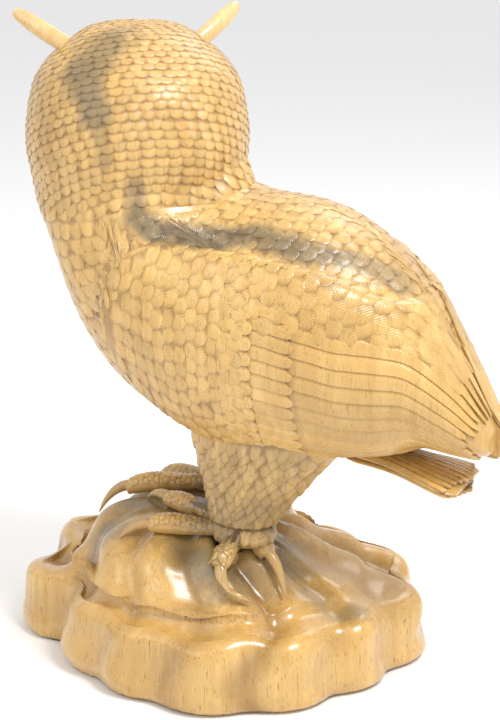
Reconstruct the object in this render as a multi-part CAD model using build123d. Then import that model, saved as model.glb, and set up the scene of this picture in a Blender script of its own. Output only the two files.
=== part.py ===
"""A carved wooden owl on a root plinth, as the blocks, inlays, pegs and felt that it is put together from.

Frame: +Z up, the owl's breast towards -Y and its tail towards +Y, its own left towards +X.
The origin is the centre of the plan, on the surface that the felt stands on. Millimetres.
"""

import os
from math import atan2, cos, hypot, pi, radians, sin

from build123d import *

# ---------------------------------------------------------------- driving sizes
# Plinth
PLINTH_WIDTH = 268.0  # across the owl, X
PLINTH_LENGTH = 348.0  # along the owl, Y
RIM_HEIGHT = 56.0  # where the lobed wall turns into the top
MOUND_HEIGHT = 110.0  # summit
FELT_THICKNESS = 2.0
FELT_SHARE = 0.91  # of the plinth's lobed outline

# Owl
BODY_LENGTH = 330.0  # breast to rump
BODY_WIDTH = 168.0  # torso alone, without its wings
NECK_HEIGHT = 362.0  # the joint between torso and head
NECK_Y = -68.0
HEAD_HEIGHT = 119.0  # joint to crown
HEAD_RADIUS = 82.0
HEAD_TURN = 52.0  # degrees, to the owl's right
WING_THICKNESS = 9.0
TAIL_WIDTH = 66.0
TAIL_THICKNESS = 15.0
TAIL_REACH = 112.0  # from its root in the rump to its tip
LEG_SPREAD = 76.0  # between the two legs' middles
LEG_WIDTH = 66.0  # where a leg leaves the belly
ANKLE_WIDTH = 38.0
STRIDE = 46.0  # how far the right foot stands ahead of the left
TOE_THICKNESS = 15.0
CLAW_THICKNESS = 8.0
CLAW_LENGTH = 28.0

# Head fittings
EYE_DIAMETER = 26.0
EYE_SPACING = 58.0
EYE_HEIGHT = 53.0  # above the neck joint
PUPIL_DIAMETER = 13.0
FACE_CUT = 12.0  # how much the carver flattens the front of the head
DISC_RADIUS = 36.0
DISC_DEPTH = 6.0
BEAK_WIDTH = 17.0
TUFT_WIDTH = 14.0
TUFT_THICKNESS = 10.0

# Pegs and tenons
NECK_PEG_DIAMETER = 20.0
NECK_PEG_LENGTH = 80.0
LEG_PEG_DIAMETER = 12.0
LEG_PEG_DEPTH = 34.0  # into the torso, and into the plinth
WING_PEG_DIAMETER = 8.0
WING_PEG_DEPTH = 20.0  # into the torso
TAIL_PEG_DIAMETER = 8.0
TAIL_PEG_LENGTH = 44.0
TENON_DIAMETER = 6.0
TENON_LENGTH = 14.0
GLUE_GAP = 0.1  # radial room for glue around a peg, a tenon or an inlay
PEG_END_GAP = 1.0  # a peg never bottoms in its hole
PEG_CHAMFER = 0.08  # of a peg's diameter

os.makedirs("parts", exist_ok=True)


# ---------------------------------------------------------------- helpers
def oval(centre, normal, across, half_across, half_other):
    """An ellipse face square to normal, with its first half-axis along across."""
    plane = Plane(origin=centre, x_dir=across, z_dir=normal)
    return plane * Ellipse(half_across, half_other)


def limb(points, radii, across=(0, 0, 1), flat=1.0):
    """A loft of ovals along points. flat is each oval's other half-axis as a share of its radius."""
    points = [Vector(*p) for p in points]
    faces = []
    for i, (point, radius) in enumerate(zip(points, radii)):
        before = points[max(i - 1, 0)]
        after = points[min(i + 1, len(points) - 1)]
        along = (after - before).normalized()
        side = along.cross(Vector(*across)).normalized()
        faces.append(oval(point, along, side, radius, radius * flat))
    return loft(faces)


def peg(start, direction, length, diameter):
    """A round peg with chamfered ends."""
    plane = Plane(origin=start, z_dir=direction)
    body = Cylinder(diameter / 2, length, align=(Align.CENTER, Align.CENTER, Align.MIN))
    return plane * chamfer(body.edges().filter_by(GeomType.CIRCLE), diameter * PEG_CHAMFER)


def peg_hole(start, direction, length, diameter):
    """The room that a peg needs: its glue gap all round and a gap past both ends."""
    begin = Vector(*start) - Vector(*direction).normalized() * PEG_END_GAP
    body = Cylinder(
        diameter / 2 + GLUE_GAP,
        length + 2 * PEG_END_GAP,
        align=(Align.CENTER, Align.CENTER, Align.MIN),
    )
    return Plane(origin=begin, z_dir=direction) * body


def solid_of(shape):
    """The largest solid of a boolean's result, so that no sliver is kept."""
    return max(shape.solids(), key=lambda s: s.volume)


def save(name, *shapes):
    shape = shapes[0] if len(shapes) == 1 else Compound(children=list(shapes))
    shape.label = name
    export_step(shape, f"parts/{name}.step")


# ---------------------------------------------------------------- plinth
# Each lobe of the root: direction from the middle in degrees, its reach and its own round size.
LOBES = [
    (-108, 184, 42),
    (-80, 168, 44),
    (-43, 132, 44),
    (-12, 130, 40),
    (20, 138, 50),
    (51, 142, 46),
    (80, 148, 38),
    (106, 164, 42),
    (134, 162, 44),
    (156, 150, 38),
    (182, 134, 46),
    (208, 136, 44),
    (232, 172, 44),
]
LOBED_WIDTH = 268.0  # the plan that the lobes are drawn at
LOBED_LENGTH = 348.0
CREST_SHARPNESS = 22  # how crisply one lobe meets the next
OUTLINE_POINTS = 78
# Level, as height; how much of the lobed outline it keeps; and the plain oval that it turns into.
LEVELS = [
    (0.0, 0.955, None),
    (0.125 * RIM_HEIGHT, 0.985, None),
    (0.5 * RIM_HEIGHT, 1.0, None),
    (0.82 * RIM_HEIGHT, 0.98, None),
    (RIM_HEIGHT, 0.92, None),
    (1.09 * RIM_HEIGHT, 0.76, None),
    (0.61 * MOUND_HEIGHT, 0.36, (-4, -14, 98, 95)),
    (0.70 * MOUND_HEIGHT, 0.10, (-2, -16, 94, 94)),
    (0.80 * MOUND_HEIGHT, 0.0, (0, -17, 88, 91)),
    (0.89 * MOUND_HEIGHT, 0.0, (-1, -19, 76, 80)),
    (0.95 * MOUND_HEIGHT, 0.0, (-2, -20, 58, 63)),
    (0.975 * MOUND_HEIGHT, 0.0, (-3, -20, 34, 38)),
    (0.98 * MOUND_HEIGHT, 0.0, (-3, -20, 12, 13)),
]


def lobed_point(angle):
    """The outermost point that the lobes' circles reach at an angle, softened where two of them meet."""
    total = 0.0
    for direction, reach, size in LOBES:
        turn = angle - radians(direction)
        off = (reach - size) * sin(turn)
        inside = size * size - off * off
        if inside > 0 and cos(turn) > 0:
            total += ((reach - size) * cos(turn) + inside**0.5) ** CREST_SHARPNESS
    ray = total ** (1 / CREST_SHARPNESS)
    wide = PLINTH_WIDTH / LOBED_WIDTH
    long = PLINTH_LENGTH / LOBED_LENGTH
    return Vector(ray * cos(angle) * wide, ray * sin(angle) * long)


def level_point(angle, keep, plain):
    """A point of one level's outline, from how much it keeps of the lobes and its plain oval."""
    x, y, half_x, half_y = plain or (0, 0, 0, 0)
    oval_point = Vector(x + half_x * cos(angle), y + half_y * sin(angle))
    return oval_point + (lobed_point(angle) - oval_point) * keep


def level_outline(keep, plain):
    angles = [2 * pi * i / OUTLINE_POINTS for i in range(OUTLINE_POINTS)]
    points = [level_point(angle, keep, plain) for angle in angles]
    return make_face(Spline([(p.X, p.Y) for p in points], periodic=True))


def ground(x, y):
    """Height of the plinth's top under a point of the plan, between the levels on either side of it."""
    rings = []
    for height, keep, plain in LEVELS:
        cx, cy = (plain or (0, 0))[:2]
        edge = level_point(atan2(y - cy, x - cx), keep, plain)
        rings.append((height, hypot(x - cx, y - cy) / hypot(edge.X - cx, edge.Y - cy)))
    for (z0, out0), (z1, out1) in zip(rings[-2::-1], rings[:0:-1]):
        if out0 <= 1.0 <= out1:
            return FELT_THICKNESS + z0 + (z1 - z0) * (1.0 - out0) / (out1 - out0)
    return FELT_THICKNESS + LEVELS[-1][0]


plinth = loft([Pos(0, 0, FELT_THICKNESS + z) * level_outline(keep, plain) for z, keep, plain in LEVELS])
felt = extrude(level_outline(FELT_SHARE, None), FELT_THICKNESS)

# ---------------------------------------------------------------- torso
# Upright sections from breast to rump: place as a share of the body's length behind the neck's middle, drop
# of the section's middle below the neck joint, half height, and half width as a share of the body's.
TORSO_SECTIONS = [
    (-0.232, -2, 8, 0.12),
    (-0.215, -6, 18, 0.34),
    (-0.185, -2, 32, 0.56),
    (-0.134, 10, 50, 0.75),
    (-0.088, 25, 74, 0.87),
    (-0.038, 36, 97, 0.96),
    (0.010, 42, 110, 1.00),
    (0.100, 57, 115, 1.03),
    (0.190, 78, 102, 1.04),
    (0.282, 91, 96, 1.03),
    (0.388, 93, 95, 1.00),
    (0.494, 96, 91, 0.94),
    (0.585, 101, 80, 0.81),
    (0.660, 107, 64, 0.62),
    (0.715, 112, 44, 0.41),
    (0.750, 116, 22, 0.19),
]


def across_body(place, drop, half_height, half_width):
    """An upright oval across the body."""
    centre = (0, NECK_Y + place * BODY_LENGTH, NECK_HEIGHT - drop)
    return oval(centre, (0, 1, 0), (0, 0, -1), half_height, half_width)


torso_form = loft(
    [
        across_body(place, drop, half_height, share * BODY_WIDTH / 2)
        for place, drop, half_height, share in TORSO_SECTIONS
    ]
)
# The head's seat is level. Behind it the mantle rises a little against the back of the head.
above_seat = Pos(0, NECK_Y + HEAD_RADIUS, NECK_HEIGHT) * Box(
    3 * HEAD_RADIUS, 3 * HEAD_RADIUS, HEAD_HEIGHT, align=(Align.CENTER, Align.MAX, Align.MIN)
)
torso_blank = solid_of(torso_form - above_seat)

# ---------------------------------------------------------------- wings
# Behind the rump the wings carry on past the torso: place, drop, half height and half width of both together.
WING_SECTIONS = [(0.700, 112, 59, 53), (0.760, 128, 42, 44), (0.815, 145, 27, 35), (0.850, 156, 16, 27)]
LEFT_TIP = (0.868, 160, 8, 18)
RIGHT_TIP = (0.905, 163, 8, 18)
# A wing's edge seen from the side, as (place, drop), from its front along the lower edge.
WING_EDGE = [
    (0.048, 77),
    (0.066, 110),
    (0.133, 140),
    (0.215, 159),
    (0.297, 168),
    (0.388, 172),
    (0.491, 171),
    (0.585, 170),
    (0.690, 172),
    (0.820, 180),
    (0.970, 182),
    (1.010, 110),
    (0.880, 66),
    (0.755, 60),
    (0.667, 58),
    (0.582, 44),
    (0.479, 34),
    (0.388, 29),
    (0.264, 26),
    (0.143, 24),
    (0.085, 40),
]
WING_MIDLINE_GAP = 0.3


def wing(side, tip):
    """One wing: a shell over the torso's flank, cut to its edge, that closes behind the rump in a blunt tip."""
    covering = [
        across_body(place, drop, half_height + WING_THICKNESS, share * BODY_WIDTH / 2 + WING_THICKNESS)
        for place, drop, half_height, share in TORSO_SECTIONS[2:-2]
    ]
    closing = [
        across_body(place, drop, half_height, half_width)
        for place, drop, half_height, half_width in WING_SECTIONS + [tip]
    ]
    edge = [(NECK_Y + place * BODY_LENGTH, NECK_HEIGHT - drop) for place, drop in WING_EDGE]
    flank = extrude(Plane.YZ * make_face(Spline(edge, periodic=True)), BODY_WIDTH, dir=(1, 0, 0))
    if side < 0:
        flank = mirror(flank, Plane.YZ)
    flank = Pos(side * WING_MIDLINE_GAP / 2, 0, 0) * flank
    return solid_of((loft(covering + closing) & flank) - torso_blank)


left_wing = wing(1, LEFT_TIP)
right_wing = wing(-1, RIGHT_TIP)

# ---------------------------------------------------------------- head
head_profile = Spline(
    (HEAD_RADIUS * 0.94, 0),
    (HEAD_RADIUS, HEAD_HEIGHT * 0.24),
    (HEAD_RADIUS * 0.98, HEAD_HEIGHT * 0.47),
    (HEAD_RADIUS * 0.87, HEAD_HEIGHT * 0.72),
    (HEAD_RADIUS * 0.54, HEAD_HEIGHT * 0.93),
    (0, HEAD_HEIGHT),
    tangents=((0.1, 1), (-1, 0)),
)
head_outline = head_profile + Line((0, HEAD_HEIGHT), (0, 0)) + Line((0, 0), (HEAD_RADIUS * 0.94, 0))
head_blank = revolve(Plane.XZ * make_face(head_outline), Axis.Z)
FACE_Y = -(HEAD_RADIUS - FACE_CUT)
in_front = (Align.CENTER, Align.MAX, Align.CENTER)
face_waste = Box(3 * HEAD_RADIUS, HEAD_RADIUS, 3 * HEAD_HEIGHT, align=in_front)
head_local = head_blank - Pos(0, FACE_Y, 0) * face_waste
# A facial disc is the shallow bowl that a large ball leaves when it is sunk by the disc's depth.
dish_radius = (DISC_RADIUS**2 + DISC_DEPTH**2) / (2 * DISC_DEPTH)
dish_y = FACE_Y - dish_radius + DISC_DEPTH
for side in (-1, 1):
    head_local -= Pos(side * EYE_SPACING / 2, dish_y, EYE_HEIGHT) * Sphere(dish_radius)
head_place = Pos(0, NECK_Y, NECK_HEIGHT) * Rot(0, 0, -HEAD_TURN)

# Glass eyes: a ball let into the face, with a darker lens let into its front.
EYE_SINK = 0.12  # of its diameter, how far a ball's middle lies behind the bottom of its disc
LENS_FLATNESS = 0.42
eye_y = FACE_Y + DISC_DEPTH + EYE_SINK * EYE_DIAMETER
lens_y = eye_y - EYE_DIAMETER / 2
eyes, pupils = {}, {}
for name, side in (("left", 1), ("right", -1)):
    middle = (side * EYE_SPACING / 2, eye_y, EYE_HEIGHT)
    ball = Pos(*middle) * Sphere(EYE_DIAMETER / 2)
    seat = Pos(*middle) * Sphere(EYE_DIAMETER / 2 + GLUE_GAP)
    lens = Pos(middle[0], lens_y, EYE_HEIGHT) * scale(Sphere(PUPIL_DIAMETER / 2), by=(1, LENS_FLATNESS, 1))
    eyes[name] = head_place * solid_of(ball - lens)
    pupils[name] = head_place * solid_of(lens)
    head_local -= seat

# The beak: a hook on a tenon between the facial discs.
# Places along the hook: behind the face, below the eyes, and half width as a share of the beak's width.
BEAK_HOOK = [(4, 6, 0.50), (-6, 9, 0.46), (-12, 18, 0.33), (-12, 30, 0.06)]
BEAK_DEEPER = 1.15  # how much deeper than wide the hook is
hook_spine = [(0, FACE_Y + behind, EYE_HEIGHT - below) for behind, below, _ in BEAK_HOOK]
hook_radii = [BEAK_WIDTH * half for _, _, half in BEAK_HOOK]
beak_root = hook_spine[0]
hook = limb(hook_spine, hook_radii, across=(1, 0, 0), flat=BEAK_DEEPER)
beak_peg = (beak_root, (0, 1, 0), TENON_LENGTH, TENON_DIAMETER)
beak = head_place * (hook + peg(*beak_peg))
head_local = head_local - hook - peg_hole(*beak_peg)

# Ear tufts: curved horns on tenons, leaning out and forwards.
# Places along a horn: outwards and forwards as shares of the head's radius, and rise over the crown.
TUFT_SPINE = [(0.585, 0.146, -17), (0.744, 0.232, -9), (0.890, 0.329, -1), (1.024, 0.439, 6)]
TUFT_TAPER = (0.95, 0.95, 0.9, 0.5)
tufts = {}
for name, side in (("left", 1), ("right", -1)):
    spine = [
        (side * out * HEAD_RADIUS, -ahead * HEAD_RADIUS, HEAD_HEIGHT + rise)
        for out, ahead, rise in TUFT_SPINE
    ]
    radii = [TUFT_WIDTH / 2 * size for size in TUFT_TAPER]
    blade = limb(spine, radii, across=(0, 1, 0), flat=TUFT_THICKNESS / TUFT_WIDTH)
    down = (Vector(*spine[0]) - Vector(*spine[1])).normalized()
    tenon = (spine[0], (down.X, down.Y, down.Z), TENON_LENGTH, TENON_DIAMETER)
    tufts[name] = head_place * solid_of(blade + peg(*tenon))
    head_local = head_local - blade - peg_hole(*tenon)

head = head_place * solid_of(head_local)
neck_peg_fit = (
    (0, NECK_Y, NECK_HEIGHT - NECK_PEG_LENGTH / 2),
    (0, 0, 1),
    NECK_PEG_LENGTH,
    NECK_PEG_DIAMETER,
)
neck_peg = peg(*neck_peg_fit)
head = head - peg_hole(*neck_peg_fit)

# ---------------------------------------------------------------- tail
TAIL_ROOT = (0, NECK_Y + 0.49 * BODY_LENGTH, NECK_HEIGHT - 176)
TAIL_FALL = 0.20  # drop for each unit of reach
# Along the tail: share of its reach, of its width and of its thickness.
TAIL_STATIONS = [(0.0, 0.55, 1.0), (0.35, 0.68, 0.95), (0.70, 0.87, 0.8), (0.93, 1.0, 0.6), (1.0, 0.86, 0.3)]
tail_blank = loft(
    [
        oval(
            (0, TAIL_ROOT[1] + share * TAIL_REACH, TAIL_ROOT[2] - share * TAIL_REACH * TAIL_FALL),
            (0, 1, -TAIL_FALL),
            (1, 0, 0),
            wide * TAIL_WIDTH / 2,
            thick * TAIL_THICKNESS / 2,
        )
        for share, wide, thick in TAIL_STATIONS
    ]
)
tail = solid_of(tail_blank - torso_blank - left_wing - right_wing)
tail_peg_fit = (
    (0, TAIL_ROOT[1] + 0.12 * TAIL_REACH, TAIL_ROOT[2] + 0.2 * TAIL_THICKNESS),
    (0, 1, -1.35 * TAIL_FALL),
    TAIL_PEG_LENGTH,
    TAIL_PEG_DIAMETER,
)

# ---------------------------------------------------------------- legs, feet and claws
ANKLE_LIFT = 20.0  # of the ankle above the ground under it
LEG_TOP_HEIGHT = NECK_HEIGHT - 155  # inside the belly
HIP_SHARE = 0.2262  # of the body's width, from its middle to the top of a leg
# Up a leg from its ankle: share of the way, half width, and how much longer than wide its section is.
LEG_STATIONS = [
    (0.0, 0.50 * ANKLE_WIDTH, 1.35),
    (0.25, 0.58 * ANKLE_WIDTH, 1.5),
    (0.6, 0.42 * LEG_WIDTH, 1.75),
    (1.0, 0.50 * LEG_WIDTH, 1.95),
]
# Each toe: heading in degrees from straight ahead towards the outer side, how far its knuckle and its end
# lie from the ankle, and how its claw turns.
TOES = {
    "front": (14, 62, 90, 10),
    "outer": (84, 32, 46, 80),
    "hind": (172, 21, 32, -20),
    "inner": (-20, 70, 104, 0),
}
# From the ankle to a toe's end: lift over the ground and half size, both as shares of half its thickness.
TOE_LIFTS = (1.5, 0.95, 1.0, 0.8)
TOE_SIZES = (1.0, 0.92, 1.0, 0.72)
# Along a claw: share of its length, lift as a share of its thickness, and size as a share of half of it.
CLAW_STATIONS = [(0.0, 0.85, 1.1), (0.4, 1.05, 1.0), (0.75, 0.75, 0.62), (1.0, 0.15, 0.1)]
CLAW_SUNK = 5.0  # of a claw's root in its toe


def heading(side, degrees_out):
    """A level direction, from straight ahead towards the outer side of that foot."""
    return Vector(side * sin(radians(degrees_out)), -cos(radians(degrees_out)))


def on_ground(start, side, turn, distance, lift):
    spot = Vector(start.X, start.Y) + heading(side, turn) * distance
    return (spot.X, spot.Y, ground(spot.X, spot.Y) + lift)


def leg_parts(side, ahead):
    """One leg, its foot, its claws and the peg up its middle, before they are fitted to each other."""
    ankle_x, ankle_y = side * LEG_SPREAD / 2, NECK_Y + 0.315 * BODY_LENGTH - ahead
    ankle = Vector(ankle_x, ankle_y, ground(ankle_x, ankle_y) + ANKLE_LIFT)
    top = Vector(side * HIP_SHARE * BODY_WIDTH, NECK_Y + 0.388 * BODY_LENGTH - 0.4 * ahead, LEG_TOP_HEIGHT)
    leg = loft(
        [
            oval(ankle + (top - ankle) * share, (0, 0, 1), (1, 0, 0), radius, radius * longer)
            for share, radius, longer in LEG_STATIONS
        ]
    )
    thick = TOE_THICKNESS / 2
    palm_centre = (ankle.X, ankle.Y, ankle.Z - 0.5 * ANKLE_LIFT)
    foot = Pos(*palm_centre) * scale(Sphere(1), by=(ANKLE_WIDTH / 2, 0.66 * ANKLE_WIDTH, ANKLE_LIFT * 0.62))
    claws = []
    for turn, knuckle, end, curl in TOES.values():
        toe_end = 0.5 * (knuckle + end) - 4
        steps = (0.15 * knuckle, 0.6 * knuckle, knuckle, toe_end)
        toe = [on_ground(ankle, side, turn, step, thick * lift) for step, lift in zip(steps, TOE_LIFTS)]
        foot += limb(toe, [thick * size for size in TOE_SIZES])
        nail_root = Vector(ankle.X, ankle.Y) + heading(side, turn) * (toe_end - CLAW_SUNK)
        claw = [
            on_ground(nail_root, side, turn + curl * share, share * CLAW_LENGTH, lift * CLAW_THICKNESS)
            for share, lift, _ in CLAW_STATIONS
        ]
        claws.append(limb(claw, [CLAW_THICKNESS / 2 * size for _, _, size in CLAW_STATIONS]))
    up = (top - ankle).normalized()
    low = Vector(ankle.X, ankle.Y, ankle.Z) - up * ((ANKLE_LIFT + LEG_PEG_DEPTH) / up.Z)
    length = (LEG_TOP_HEIGHT + LEG_PEG_DEPTH - low.Z) / up.Z
    return leg, foot, claws, (tuple(low), tuple(up), length, LEG_PEG_DIAMETER)


fitted = {}
torso = torso_blank - peg_hole(*neck_peg_fit) - peg_hole(*tail_peg_fit)
for name, side, ahead, wing_blank in (("left", 1, 0.0, left_wing), ("right", -1, STRIDE, right_wing)):
    leg, foot, claws, leg_peg = leg_parts(side, ahead)
    hole = peg_hole(*leg_peg)
    leg = leg - torso_blank - wing_blank
    foot = foot - leg
    claws = [solid_of(claw - foot) for claw in claws]
    plinth = plinth - [foot, leg, *claws, hole]
    torso = torso - hole
    fitted[f"{name}_leg"] = [solid_of(leg - hole)]
    fitted[f"{name}_foot"] = [solid_of(foot - hole)]
    fitted[f"{name}_claws"] = claws
    fitted[f"{name}_leg_peg"] = [peg(*leg_peg)]

# ---------------------------------------------------------------- wing pegs
WING_PEG_SPOTS = [(0.14, 76), (0.40, 92)]  # place along the body and drop below the neck joint
for name, side, blank in (("left", 1, left_wing), ("right", -1, right_wing)):
    wing_pegs = []
    for place, drop in WING_PEG_SPOTS:
        start = (side * (0.5 * BODY_WIDTH - WING_PEG_DEPTH), NECK_Y + place * BODY_LENGTH, NECK_HEIGHT - drop)
        fit = (start, (side, 0, 0), WING_PEG_DEPTH + 0.55 * WING_THICKNESS, WING_PEG_DIAMETER)
        wing_pegs.append(peg(*fit))
        blank = blank - peg_hole(*fit)
        torso = torso - peg_hole(*fit)
    fitted[f"{name}_wing"] = [solid_of(blank)]
    fitted[f"{name}_wing_pegs"] = wing_pegs

# ---------------------------------------------------------------- write
save("plinth", solid_of(plinth))
save("felt_sheet", felt)
save("torso", solid_of(torso))
save("head", solid_of(head))
save("neck_peg", neck_peg)
save("beak", beak)
for name in ("left", "right"):
    save(f"{name}_eye", eyes[name])
    save(f"{name}_pupil", pupils[name])
    save(f"{name}_ear_tuft", tufts[name])
save("tail", solid_of(tail - peg_hole(*tail_peg_fit)))
save("tail_peg", peg(*tail_peg_fit))
for name, solids in fitted.items():
    save(name, *solids)
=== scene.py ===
# %% [markdown]
# # A carved wooden owl on a root plinth
#
# This lesson dresses a plain imported model of a carved owl: the blocks are already there as smooth blanks,
# and each step takes one of them through the same stages that a carver does: rough form, feathers, grain,
# varnish. The object stands in metres, +Z up, with the owl's breast towards -Y, its tail towards +Y and its
# own left towards +X. Nothing on it moves, so every carved piece rides on the one body, "root".

import math

import bmesh
import bpy
import numpy as np
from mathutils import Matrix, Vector
from mathutils.bvhtree import BVHTree


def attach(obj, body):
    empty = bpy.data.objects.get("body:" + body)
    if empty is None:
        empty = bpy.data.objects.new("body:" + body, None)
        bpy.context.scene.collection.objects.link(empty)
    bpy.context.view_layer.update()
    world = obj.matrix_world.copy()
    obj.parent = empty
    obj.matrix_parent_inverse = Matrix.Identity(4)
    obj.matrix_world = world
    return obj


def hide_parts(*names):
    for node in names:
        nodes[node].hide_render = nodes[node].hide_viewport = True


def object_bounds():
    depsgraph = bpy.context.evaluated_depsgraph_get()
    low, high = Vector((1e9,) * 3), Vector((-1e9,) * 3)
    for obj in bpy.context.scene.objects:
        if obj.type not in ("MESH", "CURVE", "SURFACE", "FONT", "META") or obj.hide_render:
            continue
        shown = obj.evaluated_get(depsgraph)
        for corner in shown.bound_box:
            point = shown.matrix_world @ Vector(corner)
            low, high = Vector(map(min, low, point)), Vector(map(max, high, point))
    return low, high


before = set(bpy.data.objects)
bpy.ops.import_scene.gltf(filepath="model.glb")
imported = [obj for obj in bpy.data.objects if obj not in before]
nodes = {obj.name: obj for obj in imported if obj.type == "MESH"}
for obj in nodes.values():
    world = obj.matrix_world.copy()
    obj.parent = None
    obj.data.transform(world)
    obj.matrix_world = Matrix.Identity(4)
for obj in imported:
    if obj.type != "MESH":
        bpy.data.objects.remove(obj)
cad_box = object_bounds()
MM = 0.001
SIDES = ("left", "right")
print("blanks:", ", ".join(sorted(nodes)))
print("box in mm:", [[round(value / MM) for value in corner] for corner in cad_box])

# %% [markdown]
# ## Where the viewer stands
#
# The owl is seen from behind its left shoulder and a little from above, with a long lens, so that the
# plinth's near edge hardly swells. A camera could be aimed with a constraint, but a direction worked out
# from azimuth and elevation says plainly where it stands.

# %% Camera
VIEW_AZIMUTH = math.radians(115)
VIEW_ELEVATION = math.radians(18)
VIEW_DISTANCE = 1.5
LENS_MM = 100


def direction(azimuth, elevation):
    """From the object towards a viewer. Azimuth 0 looks at the breast, and 90 at the owl's left side."""
    level = math.cos(elevation)
    return Vector((math.sin(azimuth) * level, -math.cos(azimuth) * level, math.sin(elevation)))


aim = Vector((0, 24 * MM, 235 * MM))
towards_viewer = direction(VIEW_AZIMUTH, VIEW_ELEVATION)
camera_data = bpy.data.cameras.new("camera")
camera_data.lens = LENS_MM
camera_data.sensor_width = 36
camera = bpy.data.objects.new("camera", camera_data)
camera.location = aim + VIEW_DISTANCE * towards_viewer
camera.rotation_euler = towards_viewer.to_track_quat("Z", "Y").to_euler()
bpy.context.scene.collection.objects.link(camera)
bpy.context.scene.camera = camera
print("camera at", [round(c, 3) for c in camera.location])

# %% [markdown]
# ## Floor and light
#
# Varnished wood is read by its highlights, so the light matters as much as the colour. One large soft lamp
# would flatten the carving, and a small one would burn hard spots into the varnish. Three broad lamps do
# what a product photographer does: a main one high on the right, a weaker one low on the left, and one
# behind to edge the feathers, in a pale room that fills the hollows. The plain "Standard" view keeps the
# golden wood as strong as it is, where the default one would grey it down.

# %% Floor, room and lamps
def plain_material(name, colour, roughness):
    """A finish with one colour, for what isn't part of the owl."""
    material = bpy.data.materials.new(name)
    material.use_nodes = True
    shader = material.node_tree.nodes["Principled BSDF"]
    shader.inputs["Base Color"].default_value = (*colour, 1)
    shader.inputs["Roughness"].default_value = roughness
    return material


HALF_FLOOR = 30.0
CORNERS = [(-1, -1), (1, -1), (1, 1), (-1, 1)]
floor_mesh = bpy.data.meshes.new("floor")
floor_mesh.from_pydata([(HALF_FLOOR * x, HALF_FLOOR * y, 0) for x, y in CORNERS], [], [(0, 1, 2, 3)])
floor = bpy.data.objects.new("floor", floor_mesh)
floor.location.z = cad_box[0].z
floor_mesh.materials.append(plain_material("pale_floor", (0.93, 0.93, 0.93), 0.85))
bpy.context.scene.collection.objects.link(floor)

world = bpy.data.worlds.new("room")
world.use_nodes = True
world.node_tree.nodes["Background"].inputs["Color"].default_value = (1, 1, 1, 1)
ROOM_LIGHT = 0.84
world.node_tree.nodes["Background"].inputs["Strength"].default_value = ROOM_LIGHT
bpy.context.scene.world = world
bpy.context.scene.view_settings.view_transform = "Standard"

# name: azimuth and elevation in degrees, distance, size and power
LAMPS = {
    "main": (158, 55, 1.5, 0.5, 18),
    "side": (60, 35, 1.6, 0.9, 4),
    "back": (265, 45, 1.6, 0.7, 5),
}
for name, (azimuth, elevation, distance, size, power) in LAMPS.items():
    lamp_data = bpy.data.lights.new(name, "AREA")
    lamp_data.size = size
    lamp_data.energy = power
    lamp = bpy.data.objects.new(name, lamp_data)
    towards_lamp = direction(math.radians(azimuth), math.radians(elevation))
    lamp.location = aim + distance * towards_lamp
    lamp.rotation_euler = towards_lamp.to_track_quat("Z", "Y").to_euler()
    bpy.context.scene.collection.objects.link(lamp)
print("lamps:", ", ".join(LAMPS))

# %% [markdown]
# ## Reading a blank as a skin
#
# A carver sees a blank as a surface on which rows of feathers are drawn before any is cut. Here that
# surface is read from the blank with rays that come in from outside, and kept as a table of points: rows
# follow the way the feathers lie, and columns go across. Laying feathers on such a skin keeps each one
# glued to the form, which placing flat copies on the faces would not do on a round head.

# %% Rays into the blanks
def tree_of(*names):
    """The faces of some blanks together, ready for rays."""
    points, faces = [], []
    for name in names:
        start = len(points)
        mesh = nodes[name].data
        points.extend(vertex.co for vertex in mesh.vertices)
        faces.extend([start + i for i in polygon.vertices] for polygon in mesh.polygons)
    return BVHTree.FromPolygons(points, faces)


RAY_REACH = 0.4


def outer_hit(tree, middle, heading):
    """Where a ray from outside, flying at a middle point against a heading, first meets the blank."""
    place = tree.ray_cast(middle + heading * RAY_REACH, -heading, RAY_REACH)[0]
    return (math.nan,) * 3 if place is None else tuple(place)


def smoothed(values, reach):
    """A running mean that keeps its ends."""
    padded = np.concatenate([np.full(reach, values[0]), values, np.full(reach, values[-1])])
    return np.convolve(padded, np.ones(2 * reach + 1) / (2 * reach + 1), "valid")


# %% A skin is a table of points
TINY = 1e-12  # keeps a division by a length that may be nothing from failing


class Skin:
    """Points on a surface by rows, along the feathers' lie, and columns, across it."""

    def __init__(self, points, closed=True):
        self.points = np.array(points, float)
        self.closed = closed
        self.rows, self.columns = self.points.shape[:2]
        padded = self.points[:, [-1, *range(self.columns), 0]] if closed else None
        self.along = np.gradient(self.points, axis=0) * (self.rows - 1)
        if closed:
            self.across = (padded[:, 2:] - padded[:, :-2]) / 2 * self.columns
        else:
            self.across = np.gradient(self.points, axis=1) * (self.columns - 1)
        normals = np.cross(self.across, self.along)
        self.normals = normals / (np.linalg.norm(normals, axis=2, keepdims=True) + TINY)

    def facing(self, outward):
        """The same skin, its normals turned to the side of the given directions."""
        if np.nansum(self.normals * outward) < 0:
            self.normals = -self.normals
        return self

    def at(self, table, u, v):
        """A table's value at rows u and columns v, both given from 0 to 1."""
        row = np.clip(u, 0, 1) * (self.rows - 1)
        low = np.minimum(row.astype(int), self.rows - 2)
        part = (row - low)[..., None]
        if self.closed:
            column = (v % 1.0) * self.columns
            left = column.astype(int) % self.columns
            right = (left + 1) % self.columns
        else:
            column = np.clip(v, 0, 1) * (self.columns - 1)
            left = np.minimum(column.astype(int), self.columns - 2)
            right = left + 1
        share = (column - np.floor(column) if self.closed else column - left)[..., None]
        top = table[low, left] * (1 - share) + table[low, right] * share
        bottom = table[low + 1, left] * (1 - share) + table[low + 1, right] * share
        return top * (1 - part) + bottom * part


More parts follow.
